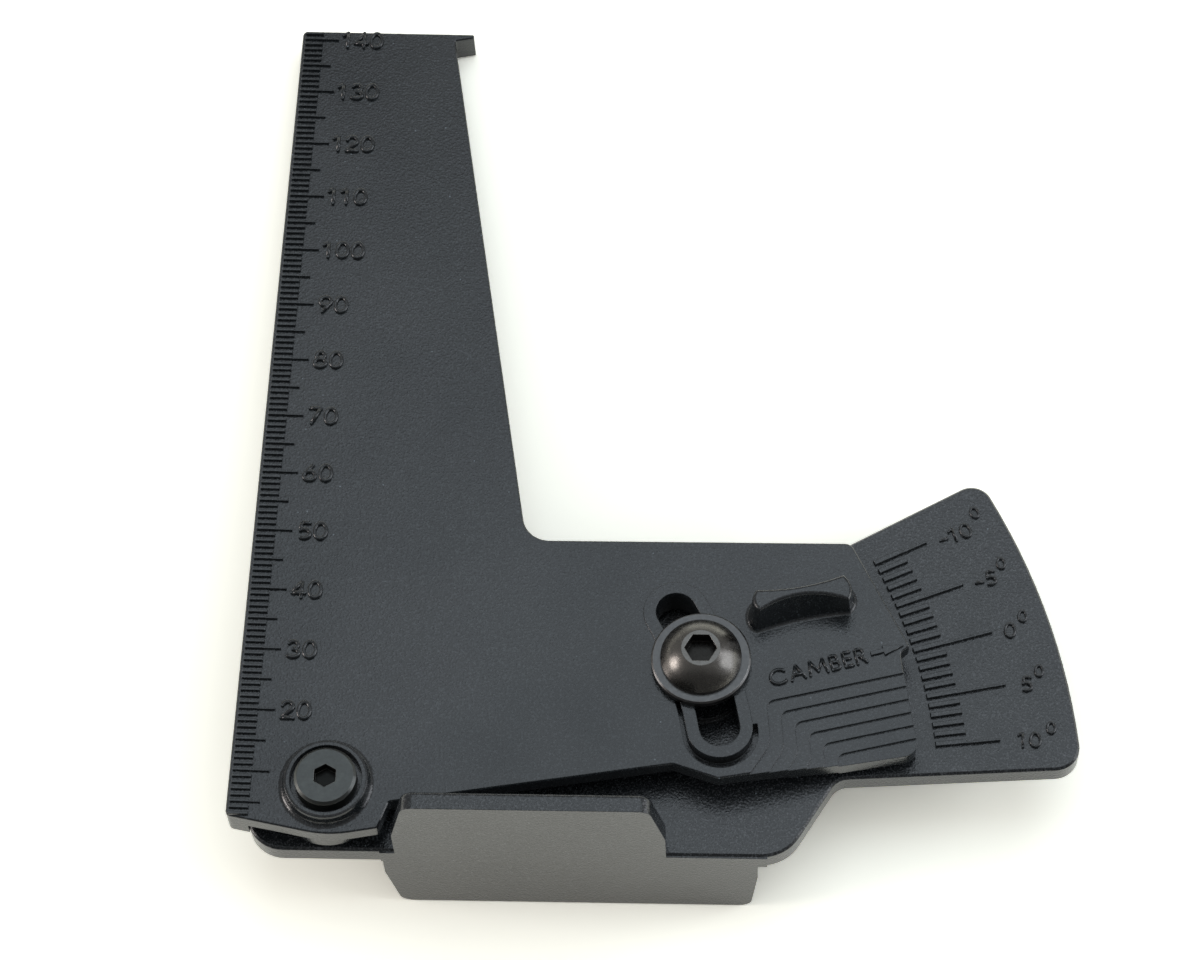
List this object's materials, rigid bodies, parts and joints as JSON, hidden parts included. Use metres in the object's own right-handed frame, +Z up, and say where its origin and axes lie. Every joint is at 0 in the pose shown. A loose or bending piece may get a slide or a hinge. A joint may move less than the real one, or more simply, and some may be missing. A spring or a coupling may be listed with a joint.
{
  "type": "camber gauge",
  "caption": "Hand gauge for small model-car wheels: L-shaped ruler arm pivots on a T-footed fan plate and clamps in a curved slot.",
  "frame": {"origin": "centre of the bounding box, on the level surface the gauge lies on", "axes": "+X along the foot towards the scale, +Y along the ruler arm, +Z up out of the plate's face (the plate leans 7.96 degrees from level)"},
  "size_m": [0.1258, 0.1438, 0.035],
  "materials": {
    "base_plastic": "fine moulded grain",
    "arm_plastic": "fine moulded grain",
    "pivot_steel": "black oxide",
    "lock_steel": "black oxide",
    "washer_steel": "black oxide",
    "nut_steel": "plain"
  },
  "bodies": {
    "base": {"base_plate": "base_plastic", "pivot_screw": "pivot_steel", "pivot_nut": "nut_steel", "lock_nut": "nut_steel"},
    "arm": {"measuring_arm": "arm_plastic"},
    "lock": {"lock_screw": "lock_steel", "lock_washer": "washer_steel"}
  },
  "joints": [
    {"name": "arm_pivot", "type": "hinge", "parent": "base", "child": "arm", "pos_m": [-0.04818, -0.06143, 0.01761], "axis": [0, 0.1385, 0.9904], "range_deg": [-9.05, 10.95]},
    {"name": "lock_turn", "type": "hinge", "parent": "base", "child": "lock", "pos_m": [0.00651, -0.04085, 0.01473], "axis": [0, 0.1385, 0.9904], "range_deg": [0, 180]}
  ]
}
